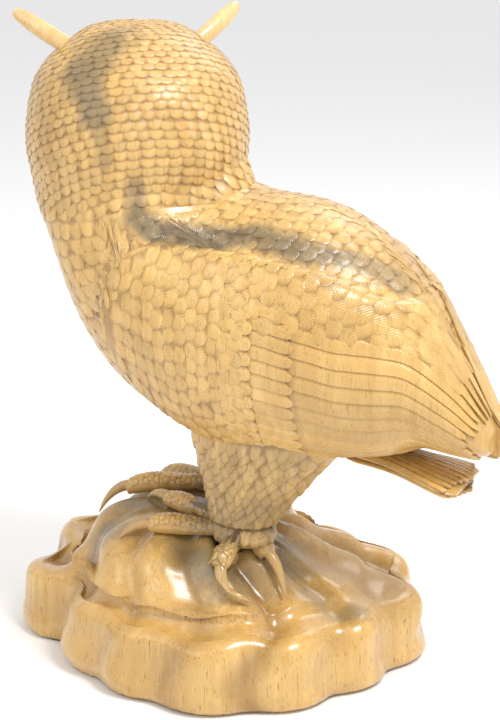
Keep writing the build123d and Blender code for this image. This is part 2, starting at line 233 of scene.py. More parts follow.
# %% [markdown]
# ## A feather
#
# Each carved feather is a low leaf: its root is sunk under the one before it, its tip stands proud and ends
# in a small cut step, and its sides fall away. It is built as a closed shell, a bent grid on top and a
# skirt that goes down into the wood, so that the finished piece is solid everywhere and casts real shadows
# at each step. Displacing one dense mesh would also work, but would round off exactly the edges that a
# knife leaves sharp.

# %% Plumage collects feathers
class Plumage:
    """Closed feather shells, with what their finish needs to know at each point."""

    def __init__(self):
        self.points, self.faces = [], []
        self.blade, self.groove, self.tone = [], [], []
        self.count = 0

    def add(self, tops, floors, blade, groove, tone):
        """Many feathers of one pattern: tops by feather, steps along and across and xyz; floors are sunk."""
        steps, sides = tops.shape[1:3]
        grid = np.arange(steps * sides).reshape(steps, sides)
        ring = np.concatenate([grid[0, :-1], grid[:-1, -1], grid[-1, :0:-1], grid[:0:-1, 0]])
        per = steps * sides + len(ring)
        good = ~np.isnan(tops).any(axis=(1, 2, 3))
        if not good.any():
            return
        tops, floors = tops[good], floors[good]
        blade, groove, tone = blade[good], groove[good], tone[good]
        many = len(tops)
        skirt = floors.reshape(many, -1, 3)[:, ring]
        points = np.concatenate([tops.reshape(many, -1, 3), skirt], axis=1)
        self.points.append(points.reshape(-1, 3))
        blade = blade.reshape(many, -1, 3)
        groove = groove.reshape(many, -1)
        self.blade.append(np.concatenate([blade, blade[:, ring]], axis=1).reshape(-1, 3))
        # painted shade: the skirt, the wall under each feather's step, is painted fully dark
        self.groove.append(np.concatenate([groove, np.ones((many, len(ring)))], axis=1).ravel())
        self.tone.append(np.repeat(tone, per))
        quads = np.stack([grid[:-1, :-1], grid[:-1, 1:], grid[1:, 1:], grid[1:, :-1]], -1).reshape(-1, 4)
        below = steps * sides + np.arange(len(ring))
        after = np.roll(np.arange(len(ring)), -1)
        walls = np.stack([ring, below, below[after], ring[after]], -1)
        for number in range(many):
            start = self.count + number * per
            self.faces.extend((quads + start).tolist())
            self.faces.extend((walls + start).tolist())
            self.faces.append((below[::-1] + start).tolist())
        self.count += many * per


# %% Laying small feathers
LEAF_STEPS = np.array([0.0, 0.45, 0.57, 0.73, 0.86, 0.95, 1.0])
LEAF_SIDES = np.linspace(-1, 1, 5)
LEAF_RISE = 1.25  # the power by which a leaf climbs from root to tip
ROOT_SUNK = 0.12  # how deep its root lies, as a share of its lift
TIP_START = 0.8
TIP_DROP = 0.35
CROWN_LEVEL = 0.6  # the share of a leaf's crown that lies below its surface
LAPPED = 0.57  # up to here a leaf lies under the next
LAP_FADE = 0.12
# how dark the painted shade is under the next leaf and along a leaf's falling sides
ROOT_SHADE = 0.5
EDGE_SHADE = 0.45
TORN = 1.9  # a leaf stretched more than this over a jump in its skin is left out
SPLAYED = 1.7  # and so is one spread wider than this
SKIRT = 1.6 * MM  # how deep a feather's skirt goes into the wood


def leaf_width(step, point):
    """Half width along a leaf, as a share: full, then drawn in to the tip; point 0 is round and 1 sharp."""
    start = 0.62 - 0.32 * point
    past = np.clip((step - start) / (1 - start), 0, 1)
    return np.sqrt(np.maximum(1 - (past * 0.98) ** (2.2 - 0.6 * point), 0))


def lay(plumage, skin, u, v, length, width, lift, rng, point=0.2, turn=0.0, crown=0.25, base=0.0, sunk=SKIRT):
    """Feathers rooted at rows u and columns v of a skin; lift is how proud their tips stand, in metres."""
    given = (u, v, length, width, lift, turn, base)
    u, v, length, width, lift, turn, base = [
        np.broadcast_to(np.asarray(value, float), np.shape(u))[:, None, None] for value in given
    ]
    root = u[:, 0, 0], v[:, 0, 0]
    u_metric = np.linalg.norm(skin.at(skin.along, *root), axis=-1)[:, None, None] + 1e-9
    v_metric = np.linalg.norm(skin.at(skin.across, *root), axis=-1)[:, None, None] + 1e-9
    step, side = LEAF_STEPS[None, :, None], LEAF_SIDES[None, None, :]
    out = side * width / 2 * leaf_width(step, point)
    forth = length * step + 0.0 * side
    du = (forth * np.cos(turn) - out * np.sin(turn)) / u_metric
    dv = (forth * np.sin(turn) + out * np.cos(turn)) / v_metric
    place = skin.at(skin.points, u + du, v + dv)
    reach = np.linalg.norm(place[:, -1, 2] - place[:, 0, 2], axis=-1)
    place[reach > TORN * length[:, 0, 0]] = np.nan
    spread = np.linalg.norm(place[:, :5, -1] - place[:, :5, 0], axis=-1).max(axis=1)
    place[spread > SPLAYED * width[:, 0, 0]] = np.nan
    normal = skin.at(skin.normals, u + du, v + dv)
    swell = 1 - side**2
    rounding = np.clip((step - TIP_START) / (1 - TIP_START), 0, 1) ** 2
    climb = step**LEAF_RISE * (1 - TIP_DROP * rounding) - ROOT_SUNK
    height = base + lift * climb + crown * lift * (swell - CROWN_LEVEL)
    tops = place + normal * height[..., None]
    floors = place - normal * sunk
    blade = np.stack(np.broadcast_arrays(out, forth, width / 2), -1)
    # painted shade: a leaf is darker where the next one laps over its root and along its falling sides
    covered = np.clip((LAPPED - step) / LAP_FADE, 0, 1)
    edge = np.abs(side) ** 6 * (1 - rounding)
    groove = np.broadcast_to(np.maximum(ROOT_SHADE * covered, EDGE_SHADE * edge), out.shape)
    tone = rng.random(len(u))
    plumage.add(tops, floors, blade, groove, tone)


# %% Laying long feathers
LONG_TIP = 0.93  # where a long feather starts to sink to its tip
LONG_ROOT = 0.06  # where it has risen from its root
LONG_CROWN = 0.5 * MM
SHAFT_RISE = 0.35 * MM
SHAFT_WIDTH = 0.13  # of the half width
LONG_ROOT_SUNK = 0.9 * MM
SHADED_SIDE = -0.55  # beyond this the neighbour's raised edge shades a feather
SHADE_FADE = 0.3
ROOT_SHADOW = 0.05


def lay_long(plumage, skin, path, half_widths, tilt, rng, base=0.0, crown=LONG_CROWN, sides=9):
    """One long feather along a path of (u, v) on a skin; tilt raises its far edge over its neighbour."""
    path, half_widths = np.array(path, float), np.array(half_widths, float)
    side = np.linspace(-1, 1, sides)[None, :]
    step = np.linspace(0, 1, len(path))[:, None]
    u = path[:, :1] + 0 * side
    v = path[:, 1:] + side * half_widths[:, None]
    place, normal = skin.at(skin.points, u, v), skin.at(skin.normals, u, v)
    tip = np.clip((step - LONG_TIP) / (1 - LONG_TIP), 0, 1) ** 2
    raised = tilt * (0.5 + 0.5 * side) * (1 - 0.4 * tip)
    height = base + raised + crown * (1 - side**2) - 0.3 * crown * tip
    shaft = SHAFT_RISE * np.exp(-((side / SHAFT_WIDTH) ** 2))
    height = height + shaft - LONG_ROOT_SUNK * (1 - np.clip(step / LONG_ROOT, 0, 1))
    centre = place[:, sides // 2]
    run = np.concatenate([[0], np.cumsum(np.linalg.norm(np.diff(centre, axis=0), axis=1))])
    across = np.linalg.norm(place - centre[:, None], axis=2) * np.sign(side)
    blade = np.stack([across, run[:, None] + 0 * side, across.max(axis=1, keepdims=True) + 0 * side], -1)
    # painted shade: darker on the side under the neighbour's raised edge, and at the sunk root
    groove = np.clip((SHADED_SIDE - side) / SHADE_FADE, 0, 1) * np.ones_like(u)
    groove = np.maximum(groove, np.clip((ROOT_SHADOW - step) / ROOT_SHADOW, 0, 1))
    tops = (place + normal * height[..., None])[None]
    floors = (place - normal * SKIRT)[None]
    plumage.add(tops, floors, blade[None], groove[None], rng.random(1))


# %% Covering a skin with rows
LONGEST_LEAF = 1.5  # of the middle one in its row
LEAF_LAP = 1.42  # a leaf's width against its share of the row
ROW_SAMPLES = 64
JITTER_ACROSS = 0.10  # of a leaf's share of the row
JITTER_ALONG = 0.09  # of the gap between rows
JITTER_TURN = 0.08  # radians
JITTER_LIFT = 0.15


def cover(
    plumage, skin, rows, width, rng, lift=(0.9, 1.8), point=0.2, overlap=1.95, keep=None, turn=0.0,
    v_range=(0, 1), base=0, **more,
):
    """Brick rows of leaves, laid from the first row given to the last; lift is in millimetres here.

    A pair is the value at the row with the lowest u and at the one with the highest.
    """
    for number, (u, gap) in enumerate(zip(rows, np.gradient(rows))):
        span = v_range[1] - v_range[0]
        middle = np.full(ROW_SAMPLES, u), np.linspace(v_range[0], v_range[1], ROW_SAMPLES)
        girth = np.nanmean(np.linalg.norm(skin.at(skin.across, *middle), axis=-1)) * span
        ends = sorted((rows[0], rows[-1]))
        wide = np.interp(u, ends, width)
        if not girth > wide:
            continue
        many = max(4, round(girth / wide))
        place = np.arange(many) + 0.5 * (number % 2) + rng.uniform(-JITTER_ACROSS, JITTER_ACROSS, many)
        v = v_range[0] + place / many * span
        u_here = np.full(many, u) + rng.uniform(-JITTER_ALONG, JITTER_ALONG, many) * gap
        exposed = np.linalg.norm(skin.at(skin.along, u_here, v), axis=-1) * abs(gap)
        exposed = np.minimum(exposed, LONGEST_LEAF * np.nanmedian(exposed))
        across = np.linalg.norm(skin.at(skin.across, u_here, v), axis=-1) * span / many
        choice = np.isfinite(exposed) & np.isfinite(across)
        if keep is not None:
            choice &= keep(skin, u_here, v, gap)
        if not choice.any():
            continue
        proud = np.interp(u, ends, lift) * MM * rng.uniform(1 - JITTER_LIFT, 1 + JITTER_LIFT, many)
        turned = rng.normal(0, JITTER_TURN, many) + turn
        lay(
            plumage,
            skin,
            u_here[choice],
            v[choice],
            (exposed * overlap)[choice],
            (across * LEAF_LAP)[choice],
            proud[choice],
            rng,
            point=np.interp(u, ends, np.broadcast_to(point, 2)),
            turn=turned[choice],
            base=np.interp(u, ends, np.broadcast_to(base, 2)),
            **more,
        )


def even_rows(lines, many):
    """Lines of points, top to bottom, each shared out into the same number of evenly spaced rows."""
    table = []
    for line in lines:
        line = np.array(line)
        line = line[~np.isnan(line).any(axis=1)]
        run = np.concatenate([[0], np.cumsum(np.linalg.norm(np.diff(line, axis=0), axis=1))])
        wanted = np.linspace(0, run[-1], many)
        table.append(np.stack([np.interp(wanted, run, line[:, axis]) for axis in range(3)], -1))
    return np.array(table).transpose(1, 0, 2)


# %% [markdown]
# ## Wood
#
# The owl is one pale golden wood whose heart is grey-green. Where the knife went deep the heart shows: on
# the crown, along the edge of the mantle, in both legs and on the mound. Fine upright pores tick the whole
# surface, because the log stood upright. The colour is worked out from the place in the log, not painted
# per feather, so the same streak runs on from one piece to the next, as in real wood. Shade is painted
# into the colour as well: under each feather's tip, down its cut step, along the barb lines and in the
# plinth's valleys. Varnish is a coat over it.

# %% Where the heart of the log shows
# the two ends and the radius of each streak in millimetres, and its strength from 0 to 1
UPPER_STREAKS = [
    ((40, -60, 486), (66, -76, 455), 19, 0.75),
    ((66, -76, 455), (76, -60, 430), 13, 0.85),
    ((76, -60, 430), (80, -52, 395), 7, 0.5),
    ((72, -32, 378), (76, -28, 357), 9, 0.7),
    ((76, -28, 357), (75, -14, 344), 10, 0.95),
    ((75, -14, 344), (63, 16, 342), 10, 1.0),
    ((63, 16, 342), (50, 50, 345), 12, 1.0),
    ((50, 50, 345), (51, 87, 339), 12, 0.95),
    ((51, 87, 339), (40, 118, 333), 11, 0.85),
    ((40, 118, 333), (20, 150, 318), 11, 0.7),
    ((-76, -28, 357), (-50, 50, 345), 10, 0.9),
    ((-50, 50, 345), (-40, 118, 333), 11, 0.8),
    ((10, 30, 366), (0, 150, 325), 34, 0.22),
]
LOWER_STREAKS = [
    ((38, 70, 215), (38, 30, 112), 44, 0.66),
    ((-38, 50, 215), (-38, -16, 112), 44, 0.66),
    ((20, 30, 108), (-20, -50, 106), 52, 0.95),
    ((66, 62, 90), (46, -70, 88), 22, 0.9),
    ((30, 60, 100), (30, 120, 62), 16, 0.7),
]


def waver(points):
    """A slow wandering value about 0, the same each time, for edges that aren't ruled."""
    x, y, z = (points / MM).T
    value = np.sin(x / 11 + 0.7 * np.sin(z / 17)) + np.sin(y / 13 + 1.3 + 0.8 * np.sin(x / 19))
    return (value + np.sin(z / 9 + 0.9 * np.sin(y / 15)) + 0.6 * np.sin((x + y - z) / 6)) / 3.6


def heart(points, streaks):
    """How much of the heart shows at each point, from 0 to 1."""
    wander = waver(points)
    shown = np.zeros(len(points))
    for start, end, radius, strength in streaks:
        start, end = np.array(start) * MM, np.array(end) * MM
        line = end - start
        share = np.clip((points - start) @ line / (line @ line), 0, 1)
        away = np.linalg.norm(points - start - share[:, None] * line, axis=1) / (radius * MM)
        shown = np.maximum(shown, strength * np.clip(1.5 - away + 0.35 * wander, 0, 1))
    return shown


# %% Carving a blank
# painted shade: the blank, seen only between and under the feathers, is a little darker
CORE_PAINTED_SHADE = 0.15
CORE_TONE = 0.5
SHARP_ANGLE = math.radians(38)
FINISHES = {}  # the finish of each slot, made below


def set_points(mesh, title, values):
    """Gives a mesh one number at each point, for its finish to read."""
    column = np.asarray(values, np.float32)
    mesh.attributes.new(title, "FLOAT", "POINT").data.foreach_set("value", column)


def finish_piece(name, mesh, slot, *blanks):
    """Smooth faces with sharp steps, outward normals, its finish, and its place on the owl."""
    shell = bmesh.new()
    shell.from_mesh(mesh)
    bmesh.ops.recalc_face_normals(shell, faces=shell.faces)
    shell.to_mesh(mesh)
    shell.free()
    mesh.shade_smooth()
    mesh.set_sharp_from_angle(angle=SHARP_ANGLE)
    mesh.materials.append(FINISHES[slot])
    piece = bpy.data.objects.new(name, mesh)
    bpy.context.scene.collection.objects.link(piece)
    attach(piece, "root")
    if blanks:
        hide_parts(*blanks)
    triangles = sum(len(polygon.vertices) - 2 for polygon in mesh.polygons)
    print(f"{name}: {len(mesh.vertices)} points, {triangles} triangles")


def carve(name, plumage, slot, streaks=(), blank=None, pivot=(0, 0, 0), core_scale=1.0):
    """A finished piece: feathers, on their blank or on a smaller one about a pivot, if they have one."""
    core = np.empty((0, 3))
    faces = []
    if blank:
        core = np.array([vertex.co for vertex in nodes[blank].data.vertices])
        core = pivot + (core - pivot) * core_scale
        faces = [tuple(polygon.vertices) for polygon in nodes[blank].data.polygons]
    start = len(core)
    points = np.concatenate([core, *plumage.points])
    faces += [tuple(start + i for i in face) for face in plumage.faces]
    mesh = bpy.data.meshes.new(name)
    mesh.from_pydata(points, [], faces)
    # painted shade for the blank and for each feather's lapped root, sides and skirt
    set_points(mesh, "groove", np.concatenate([np.full(start, CORE_PAINTED_SHADE), *plumage.groove]))
    set_points(mesh, "tone", np.concatenate([np.full(start, CORE_TONE), *plumage.tone]))
    set_points(mesh, "heart", heart(points, streaks))
    blade = np.concatenate([np.zeros((start, 3)), *plumage.blade]).astype(np.float32)
    mesh.attributes.new("blade", "FLOAT_VECTOR", "POINT").data.foreach_set("vector", blade.ravel())
    finish_piece(name, mesh, slot, *([blank] if blank else []))


# %% Wood finish
class Finish:
    """A small helper that adds nodes to a material and wires them."""

    def __init__(self, name):
        self.material = bpy.data.materials.new(name)
        self.material.use_nodes = True
        self.tree = self.material.node_tree
        self.shader = self.tree.nodes["Principled BSDF"]

    def node(self, kind, inputs=None, **settings):
        made = self.tree.nodes.new("ShaderNode" + kind)
        for key, value in settings.items():
            setattr(made, key, value)
        for key, value in (inputs or {}).items():
            self.put(value, made.inputs[key])
        return made

    def put(self, value, socket):
        if isinstance(value, bpy.types.NodeSocket):
            self.tree.links.new(value, socket)
        else:
            socket.default_value = value

    def attribute(self, name, output="Fac"):
        return self.node("Attribute", attribute_name=name).outputs[output]

    def stretched(self, scale, detail):
        """Noise in the log's own coordinates, stretched along the grain by its three scales."""
        where = self.node("TexCoord").outputs["Object"]
        mapped = self.node("Mapping", {"Vector": where, "Scale": scale}).outputs["Vector"]
        options = {"Vector": mapped, "Scale": 1.0, "Detail": detail, "Roughness": 0.55}
        return self.node("TexNoise", options).outputs["Fac"]

    def ramp(self, value, low, high):
        """Black below the low value, white above the high one, and even between them."""
        made = self.node("ValToRGB", {"Fac": value})
        for element, position in zip(made.color_ramp.elements, (low, high)):
            element.position = position
        return made.outputs["Color"]

    def mix(self, share, first, second, blend="MIX"):
        made = self.node("Mix", data_type="RGBA", blend_type=blend)
        for socket, value in zip((made.inputs[0], made.inputs[6], made.inputs[7]), (share, first, second)):
            self.put(value, socket)
        return made.outputs[2]

    def relief(self, height, strength, depth):
        bump = self.node("Bump", {"Height": height, "Strength": strength, "Distance": depth})
        self.put(bump.outputs["Normal"], self.shader.inputs["Normal"])

    def calc(self, operation, first, second=0.0, third=0.0):
        made = self.node("Math", operation=operation)
        for socket, value in zip(made.inputs, (first, second, third)):
            self.put(value, socket)
        return made.outputs[0]


SAP_LIGHT = (0.76, 0.50, 0.18, 1)
SAP_WARM = (0.62, 0.36, 0.10, 1)
SAP_DEEP = (0.47, 0.27, 0.075, 1)
HEART_PALE = (0.31, 0.225, 0.105, 1)
HEART_DARK = (0.11, 0.08, 0.042, 1)
# the colour of painted shade, in the grooves under the feathers and along the barb lines
PAINTED_SHADE_TINT = (0.27, 0.17, 0.07, 1)
PORE_TINT = (0.50, 0.36, 0.20, 1)


# scales of the noises across and along the log, per metre
FIBRE = (160, 160, 9)
FIGURE = (26, 26, 3.5)
BROAD = (11, 11, 5)
PORES = (900, 900, 70)
TOOTH = (420, 420, 120)
WOBBLE = (240, 240, 240)
BARB_SLANT = -1.1
BUMP_DEPTH = 0.0006


def wood(slot, light=SAP_LIGHT, warm=SAP_WARM, carved=True, barbs=0.0, gloss=0.30, pores=0.45, bump=0.55):
    """Varnished wood with upright pores, a heart, per-feather tone, painted shade in the grooves and cut
    barbs.
    """
    f = Finish(slot)
    fibre = f.stretched(FIBRE, 5)
    pore = f.ramp(f.stretched(PORES, 2), 0.60, 0.68)
    sap = f.mix(f.ramp(fibre, 0.35, 0.7), light, warm)
    sap = f.mix(f.calc("MULTIPLY", f.ramp(f.stretched(FIGURE, 3), 0.45, 0.75), 0.45), sap, warm)
    sap = f.mix(f.calc("MULTIPLY", f.ramp(f.stretched(BROAD, 2), 0.42, 0.68), 0.5), sap, SAP_DEEP)
    if carved:
        edge = f.calc("MULTIPLY_ADD", f.calc("SUBTRACT", fibre, 0.5), 0.9, f.attribute("heart"))
        dark = f.mix(f.ramp(fibre, 0.3, 0.7), HEART_DARK, HEART_PALE)
        sap = f.mix(f.ramp(edge, 0.18, 0.95), sap, dark)
    sap = f.mix(f.calc("MULTIPLY", pore, pores), sap, PORE_TINT, "MULTIPLY")
    height = f.calc("MULTIPLY_ADD", f.stretched(TOOTH, 3), 0.35, f.calc("MULTIPLY", pore, -0.35))
    if carved:
        tone = f.calc("MULTIPLY_ADD", f.attribute("tone"), 0.16, 0.90)
        toned = f.node("HueSaturation", {"Value": tone, "Color": sap}).outputs["Color"]
        # painted shade: the wood is darkened by each point's shade mask
        sap = f.mix(f.attribute("groove"), toned, PAINTED_SHADE_TINT, "MULTIPLY")
    if barbs:
        parts = f.node("SeparateXYZ", {"Vector": f.attribute("blade", "Vector")}).outputs
        slant = f.calc("MULTIPLY_ADD", f.calc("ABSOLUTE", parts[0]), BARB_SLANT, parts[1])
        line = f.calc("SINE", f.calc("MULTIPLY", slant, 2 * math.pi / barbs))
        ragged = f.calc("MULTIPLY_ADD", f.stretched(WOBBLE, 2), 1.2, line)
        height = f.calc("MULTIPLY_ADD", ragged, 0.22, height)
        # painted shade along each cut barb line
        sap = f.mix(f.calc("MULTIPLY", f.ramp(line, 0.2, 1.0), 0.20), sap, PAINTED_SHADE_TINT)
    f.put(sap, f.shader.inputs["Base Color"])
    f.put(f.calc("MULTIPLY_ADD", fibre, 0.18, gloss - 0.09), f.shader.inputs["Roughness"])
    f.relief(height, bump, BUMP_DEPTH)
    f.shader.inputs["Coat Weight"].default_value = 0.45
    f.shader.inputs["Coat Roughness"].default_value = 0.2
    f.shader.inputs["Coat IOR"].default_value = 1.5
    FINISHES[slot] = f.material
    return f.material


wood("head_wood", barbs=1.5 * MM)
wood("body_wood", barbs=1.8 * MM)
wood("wing_wood", barbs=2.6 * MM)
wood("leg_wood", barbs=2.2 * MM, gloss=0.34)
wood("foot_wood", gloss=0.28)
wood("plinth_wood", gloss=0.26, pores=0.8, bump=0.2)
print("carved finishes:", ", ".join(FINISHES))


# %% [markdown]
# ## Head
#
# The head's feathers start small on the crown and grow as they run down to the nape, where they end in long
# points that hang over the mantle. The rows are rings round a pole on the brow, so they flow away from the
# face on every side, as on a real owl. The head is one blank, and the nape's last rows are read from the
# head and the body together, so they bridge the parting line and hide it.

# %% Head skin
HEAD_MIDDLE = Vector((0, -68, 402)) * MM
FACE_TURN = math.radians(52)
facing = Vector((-math.sin(FACE_TURN), -math.cos(FACE_TURN), 0))
POLE_RISE = math.radians(62)
pole = (facing * math.cos(POLE_RISE) + Vector((0, 0, 1)) * math.sin(POLE_RISE)).normalized()
pole_side = pole.cross(Vector((0, 0, 1))).normalized()
pole_up = pole_side.cross(pole).normalized()

head_tree = tree_of("head", "torso")
HEAD_ROWS = 72
HEAD_COLUMNS = 180
HEAD_REACH = math.radians(156)


def head_heading(away, around):
    """From the head's middle, at an angle away from the pole and an angle around it."""
    ring = pole_side * math.cos(around) + pole_up * math.sin(around)
    return pole * math.cos(away) + ring * math.sin(away)


COLLAR_REACH = 97 * MM
BRIDGE_ROWS = 2


def head_line(around):
    """Points down the head at an angle round the pole, smoothed so that the line bridges the parting."""
    headings = [head_heading(HEAD_REACH * (row + 0.5) / HEAD_ROWS, around) for row in range(HEAD_ROWS)]
    hits = [Vector(outer_hit(head_tree, HEAD_MIDDLE, heading)) for heading in headings]
    reach = np.minimum([(hit - HEAD_MIDDLE).length for hit in hits], COLLAR_REACH)
    return [HEAD_MIDDLE + heading * length for heading, length in zip(headings, smoothed(reach, BRIDGE_ROWS))]


head_turns = np.linspace(0, 2 * math.pi, HEAD_COLUMNS, endpoint=False)
head_points = np.array([head_line(around) for around in head_turns]).transpose(1, 0, 2)
head_skin = Skin(head_points).facing(head_points - np.array(HEAD_MIDDLE))
print("head skin", head_skin.points.shape, "holes:", int(np.isnan(head_points[..., 0]).sum()))

# %% Head feathers
EYE_SPACING = 58 * MM
EYE_HEIGHT = 415 * MM
FACE_PLANE = 70 * MM
DISC_RADIUS = 36 * MM
BRIDGE_SHARE = 0.8  # the height of the brow between the discs, as a share of their radius
FACE_DEPTH = 0.6 * FACE_PLANE
TIP_REACH = 1.7  # how far a tip is from its root, in rows
head_axis = Vector((0, -68 * MM, 0))
face_side = Vector((math.cos(FACE_TURN), -math.sin(FACE_TURN), 0))


def on_face(places):
    """True where a place lies on the flat of the face, inside the ring of the two discs."""
    local = places - np.array(head_axis)
    sideways = np.abs(local @ np.array(face_side))
    upwards = np.abs(places[..., 2] - EYE_HEIGHT)
    near_disc = np.hypot(sideways - EYE_SPACING / 2, upwards) < DISC_RADIUS
    between = (sideways < EYE_SPACING / 2) & (upwards < BRIDGE_SHARE * DISC_RADIUS)
    return (near_disc | between) & (local @ np.array(facing) > FACE_DEPTH)


COLLAR_LOW = 338 * MM
COLLAR_RISE = 8 * MM
NECK_SHARE = 0.985  # past this much of the collar's reach the skin is only a bridge


def head_keep(skin, u, v, gap):
    """Leaves out the face, and the breast where the collar ends."""
    places = skin.at(skin.points, u, v)
    tips = skin.at(skin.points, u + TIP_REACH * gap, v)
    ahead = (places - np.array(head_axis)) @ np.array(facing)
    lowest = COLLAR_LOW + COLLAR_RISE * np.clip(ahead / DISC_RADIUS, 0, 1)
    round_neck = np.linalg.norm(places - np.array(HEAD_MIDDLE), axis=-1) < NECK_SHARE * COLLAR_REACH
    return ~on_face(places) & ~on_face(tips) & (tips[..., 2] > lowest) & round_neck


rng = np.random.default_rng(11)
head_plumage = Plumage()
crown_rows = np.linspace(0.03, 0.60, 23)
nape_rows = np.linspace(0.63, 0.985, 13)
head_rows = np.concatenate([crown_rows, nape_rows])[::-1]
head_leaves = dict(lift=(0.8, 2.3), point=(0.3, 0.65), keep=head_keep)
cover(head_plumage, head_skin, head_rows, (0.0062, 0.0128), rng, **head_leaves)
carve("head_feathers", head_plumage, "head_wood", UPPER_STREAKS, "head")


# %% [markdown]
# ## Body
#
# The body is a bent egg: upright at the neck and nearly level at the rump, and its feathers run from the
# collar round that bend to the tail. The rows here are slices across a bent axis, each tipped a little more
# than the last, so they fan out over the breast and crowd together in the hollow of the back. The skin is
# read from body and wings together, and its feathers stop a little way onto each wing, which covers the
# parting. Under the wings there are none, as a carver leaves them out.

# %% Body skin
# the bent axis from collar to rump: y and z in millimetres, and the lean of its slices in degrees
BODY_AXIS = [
    (-68, 361, 9),
    (-56, 335, 19),
    (-30, 310, 33),
    (5, 286, 42),
    (50, 266, 47),
    (93, 250, 51),
    (128, 238, 54),
    (150, 230, 57),
    (176, 221, 64),
]
BODY_SLICES = 60
BODY_COLUMNS = 160
BODY_ROWS = 90
axis_table = np.array(BODY_AXIS, float)
body_tree = tree_of("torso", "left_wing", "right_wing")
torso_tree = tree_of("torso")
BODY_SMOOTHING = 2
SIDEWAYS = (1, 0, 0)


def body_line(around):
    """The line down the body at an angle: 0 is the owl's left, a quarter turn its back."""
    line = []
    for share in np.linspace(0, len(axis_table) - 1, BODY_SLICES):
        y, z, lean = [np.interp(share, range(len(axis_table)), axis_table[:, i]) for i in range(3)]
        lean = math.radians(lean)
        level, rise = math.cos(lean), math.sin(lean)
        heading = Vector((math.cos(around), math.sin(around) * level, math.sin(around) * rise))
        line.append(outer_hit(body_tree, Vector((0, y, z)) * MM, heading))
    return line


body_turns = np.linspace(0, 2 * math.pi, BODY_COLUMNS, endpoint=False)
body_points = even_rows([body_line(around) for around in body_turns], BODY_ROWS)
body_points = np.apply_along_axis(smoothed, 0, body_points, BODY_SMOOTHING)
body_skin = Skin(body_points).facing(body_points * SIDEWAYS)
print("body skin", body_skin.points.shape)

# %% Wing skins
WING_FRONT = -52 * MM
WING_TIPS = {"left": 216 * MM, "right": 229 * MM}
WING_END = 2 * MM
WING_SLICES = 90
WING_COLUMNS = 70
EDGE_SMOOTHING = 12
# height of the wings' middle from front to tip, in millimetres
WING_MIDDLE = [(-52, 285), (0, 262), (60, 250), (120, 240), (170, 225), (200, 208), (230, 200)]
wing_trees = {side: tree_of(side + "_wing") for side in SIDES}


def wing_heading(side, around):
    """Across the owl at an angle above the level, towards that wing."""
    out = 1 if side == "left" else -1
    return Vector((out * math.cos(around), 0, math.sin(around)))


def wing_middle(y):
    """A point inside the owl, level with the middle of its wings."""
    return Vector((0, y, np.interp(y / MM, *zip(*WING_MIDDLE)) * MM))


def wing_edges(side, y):
    """The angles of a wing's top and bottom edge in one upright slice."""
    tree, middle = wing_trees[side], wing_middle(y)
    angles = np.radians(np.arange(100, -100, -1.0))
    shown = [a for a in angles if not math.isnan(outer_hit(tree, middle, wing_heading(side, a))[0])]
    return shown[0], shown[-1]


def wing_skin(side):
    """A wing's outer side from its front to its tip, and on over the body where the wing has a gap."""
    places = np.linspace(WING_FRONT + WING_END, WING_TIPS[side] - WING_END, WING_SLICES)
    tops, bottoms = np.array([wing_edges(side, y) for y in places]).T
    print(side, "wing in degrees:", round(math.degrees(tops.max())), round(math.degrees(bottoms.min())))
    tops, bottoms = smoothed(tops, EDGE_SMOOTHING), smoothed(bottoms, EDGE_SMOOTHING)
    both = tree_of(side + "_wing", "torso")
    table = []
    for y, top, bottom in zip(places, tops, bottoms):
        angles = np.linspace(top, bottom, WING_COLUMNS)
        table.append([outer_hit(both, wing_middle(y), wing_heading(side, a)) for a in angles])
    points = even_rows(table, WING_COLUMNS).transpose(1, 0, 2)
    return Skin(points, closed=False).facing(points * SIDEWAYS)


wing_skins = {side: wing_skin(side) for side in SIDES}
print("wing skins", {side: skin.points.shape for side, skin in wing_skins.items()})

# %% Body feathers
ON_WING = 11 * MM  # a root this far off the torso lies well onto a wing
ROW_BEFORE = 1.3


def body_keep(skin, u, v, gap):
    """Leaves out feathers rooted well onto a wing, but for the first row that laps over its edge."""
    rooted = np.zeros((2, len(u)), bool)
    for number, row in enumerate((u, u - ROW_BEFORE * abs(gap))):
        places = skin.at(skin.points, row, v)
        rooted[number] = [torso_tree.find_nearest(Vector(place))[3] > ON_WING for place in places]
    return ~rooted.all(axis=0)


body_plumage = Plumage()
body_rows = np.linspace(0.0, 0.97, 28)[::-1]
body_leaves = dict(lift=(1.1, 1.5), point=(0.35, 0.1), overlap=2.0, keep=body_keep)
cover(body_plumage, body_skin, body_rows, (0.0105, 0.0120), rng, **body_leaves)
carve("body_feathers", body_plumage, "body_wood", UPPER_STREAKS, "torso")

# %% [markdown]
# ## Wings
#
# A folded wing has an order that a carver keeps: soft leaves over the shoulder, two columns of short
# coverts that lap downwards like roof tiles, then the long flight feathers that run to the tip, each raised
# along its lower edge, and over their roots a row of broad shoulder feathers. Each flight feather is one
# long shell here rather than a groove in a texture, because its raised edge throws the line of shadow that
# the eye reads as a feather.

# %% Wing feathers
HALF_LAP = 0.62  # a long feather's half width as a share of its pitch
FLIGHT_TOP = 0.25
FLIGHT_START = 92 * MM
FLIGHT_FEATHERS = 11
LONGEST_FLIGHT = 7
FLIGHT_STEPS = [*np.linspace(0, 0.93, 24), 0.96, 0.98, 0.992, 1.0]
FLIGHT_TILT = 2.0 * MM
FLIGHT_CROWN = 0.7 * MM
INNER_START = 158 * MM
INNER_FEATHERS = 3
INNER_STEPS = [*np.linspace(0, 0.9, 14), 0.94, 0.98, 1.0]
INNER_TILT = 1.6 * MM
